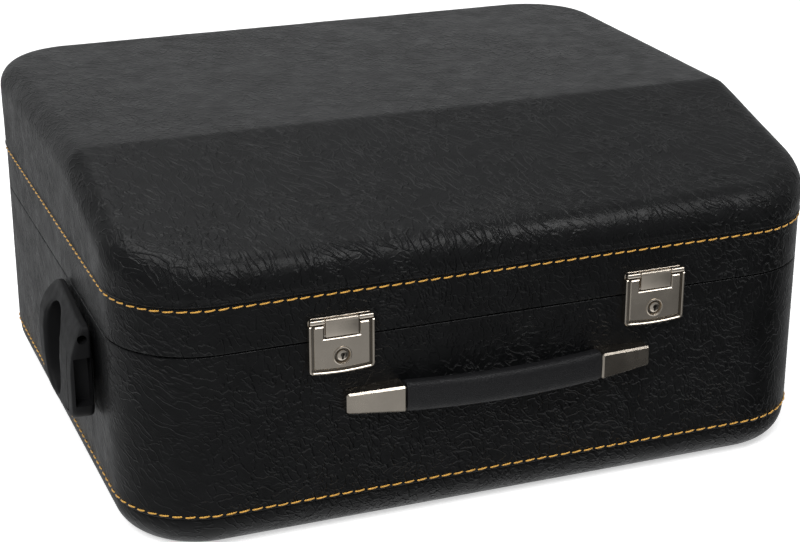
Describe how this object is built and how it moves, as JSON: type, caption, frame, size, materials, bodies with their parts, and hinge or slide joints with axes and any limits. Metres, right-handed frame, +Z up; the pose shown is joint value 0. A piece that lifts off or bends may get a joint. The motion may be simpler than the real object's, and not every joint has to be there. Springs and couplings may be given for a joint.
{
  "type": "wind up phonograph",
  "caption": "Portable wind-up phonograph in a closed leather-cloth case with hinged sloping lid, key latches, carrying handle and side winding handle.",
  "frame": {"origin": "on the flat underside of the case, under the middle of its side walls", "axes": "+Z up, +X to the right along the case's width, -Y to the front with the latches and the carrying handle"},
  "size_m": [0.477, 0.425, 0.216],
  "materials": {
    "leathercloth": "creased black leather cloth",
    "thread": "golden waxed thread",
    "lining": "wine red plush",
    "aluminium": "satin",
    "nickel": "satin nickel with polished edges",
    "grip": "fine grained black",
    "black_plastic": "moulded, fine matt",
    "steel": "turned",
    "brass": "satin",
    "cast_metal": "grey enamel",
    "rubber": "matt",
    "board": "leather cloth over plywood",
    "wood": "plain wood, thin varnish",
    "fibre": "pressed fibre",
    "felt": "green felt"
  },
  "bodies": {
    "case": {"base_tray": "leathercloth", "lower_band": "leathercloth", "base_rim": "aluminium", "base_lining": "lining", "base_hinge_leaves": "nickel", "hinge_pins": "nickel", "base_rear_feet": "nickel", "stay_stud": "brass", "left_lock_plate": "nickel", "right_lock_plate": "nickel", "handle_caps": "nickel", "shaft_bush": "brass", "shaft_bearing": "steel", "motor_board": "board", "board_cleats": "wood", "motor_screws": "nickel", "motor_grommets": "rubber", "motor_top_plate": "cast_metal", "motor_bottom_plate": "cast_metal", "motor_pillars": "steel", "governor_brackets": "steel", "tonearm_base": "nickel", "horn": "wood", "sound_grille": "brass", "arm_rest": "nickel", "needle_cup": "nickel"},
    "lid": {"lid_cap": "leathercloth", "upper_band": "leathercloth", "lid_rim": "aluminium", "lid_lining": "lining", "lid_hinge_leaves": "nickel", "lid_rear_feet": "nickel", "stay_bracket": "brass", "hasp_hinge_plates": "nickel"},
    "stay": {"lid_stay": "brass"},
    "hasp_left": {"left_hasp": "nickel"},
    "hasp_right": {"right_hasp": "nickel"},
    "key_left": {"left_key_cylinder": "nickel"},
    "key_right": {"right_key_cylinder": "nickel"},
    "grip": {"handle_grip": "grip"},
    "winder": {"winding_handle": "black_plastic", "winding_shaft": "steel", "winding_pinion": "brass"},
    "arbor": {"barrel_arbor": "steel", "crown_wheel": "brass"},
    "barrel": {"spring_barrel": "cast_metal", "barrel_cover": "brass", "mainspring": "steel"},
    "second": {"second_wheel": "brass"},
    "turntable": {"spindle": "steel", "worm_wheel": "fibre", "platter": "aluminium", "platter_mat": "felt"},
    "governor": {"governor_shaft": "steel", "governor_weights": "brass"},
    "speed_control": {"speed_lever": "nickel"},
    "brake": {"brake_lever": "nickel"},
    "arm": {"tonearm": "nickel"},
    "sound_head": {"soundbox": "nickel"},
    "cup_lid": {"needle_cup_lid": "nickel"}
  },
  "joints": [
    {"name": "lid_hinge", "type": "hinge", "parent": "case", "child": "lid", "pos_m": [0, 0.202, 0.127], "axis": [-1, 0, 0], "range_deg": [0, 95]},
    {"name": "stay_swing", "type": "hinge", "parent": "lid", "child": "stay", "pos_m": [0.219, 0.04, 0.14], "axis": [1, 0, 0], "range_deg": [0, 154]},
    {"name": "left_hasp_hinge", "type": "hinge", "parent": "lid", "child": "hasp_left", "pos_m": [-0.1025, -0.2015, 0.1402], "axis": [-1, 0, 0], "range_deg": [0, 120]},
    {"name": "right_hasp_hinge", "type": "hinge", "parent": "lid", "child": "hasp_right", "pos_m": [0.1025, -0.2015, 0.1402], "axis": [-1, 0, 0], "range_deg": [0, 120]},
    {"name": "left_key_turn", "type": "hinge", "parent": "case", "child": "key_left", "pos_m": [-0.1025, -0.203, 0.1178], "axis": [0, -1, 0], "range_deg": [0, 90]},
    {"name": "right_key_turn", "type": "hinge", "parent": "case", "child": "key_right", "pos_m": [0.1025, -0.203, 0.1178], "axis": [0, -1, 0], "range_deg": [0, 90]},
    {"name": "grip_lift", "type": "slide", "parent": "case", "child": "grip", "axis": [0, -1, 0], "range_m": [0, 0.004]},
    {"name": "winding_turn", "type": "hinge", "parent": "case", "child": "winder", "pos_m": [-0.232, -0.097, 0.092], "axis": [1, 0, 0], "continuous": true},
    {"name": "arbor_turn", "type": "hinge", "parent": "case", "child": "arbor", "pos_m": [-0.085, -0.097, 0.07], "axis": [0, 0, 1], "continuous": true},
    {"name": "turntable_spin", "type": "hinge", "parent": "case", "child": "turntable", "pos_m": [-0.045, -0.012, 0.128], "axis": [0, 0, 1], "continuous": true},
    {"name": "second_spin", "type": "hinge", "parent": "case", "child": "second", "pos_m": [-0.06736, -0.04755, 0.07], "axis": [0, 0, 1], "continuous": true},
    {"name": "barrel_spin", "type": "hinge", "parent": "case", "child": "barrel", "pos_m": [-0.085, -0.097, 0.056], "axis": [0, 0, 1], "continuous": true},
    {"name": "governor_spin", "type": "hinge", "parent": "case", "child": "governor", "pos_m": [0, 0.012, 0.06], "axis": [1, 0, 0], "continuous": true},
    {"name": "speed_turn", "type": "hinge", "parent": "case", "child": "speed_control", "pos_m": [-0.01, -0.165, 0.118], "axis": [0, 0, 1], "range_deg": [-35, 35]},
    {"name": "brake_swing", "type": "hinge", "parent": "case", "child": "brake", "pos_m": [0.078, -0.098, 0.12], "axis": [0, 0, 1], "range_deg": [-15, 8]},
    {"name": "tonearm_swing", "type": "hinge", "parent": "case", "child": "arm", "pos_m": [0.15, 0.13, 0.14], "axis": [0, 0, 1], "range_deg": [-44, 0]},
    {"name": "sound_head_turn", "type": "hinge", "parent": "arm", "child": "sound_head", "pos_m": [0.15, -0.09, 0.164], "axis": [0, -1, 0], "range_deg": [0, 90]},
    {"name": "needle_lid_swing", "type": "hinge", "parent": "case", "child": "cup_lid", "pos_m": [-0.16, -0.123, 0.12], "axis": [0, 0, 1], "range_deg": [-100, 0]}
  ],
  "couplings": [
    {"joint": "stay_swing", "follows": "lid_hinge", "ratio": 1.618},
    {"joint": "arbor_turn", "follows": "winding_turn", "ratio": -0.3},
    {"joint": "second_spin", "follows": "turntable_spin", "ratio": -0.2},
    {"joint": "barrel_spin", "follows": "turntable_spin", "ratio": 0.033333},
    {"joint": "governor_spin", "follows": "turntable_spin", "ratio": 19}
  ]
}
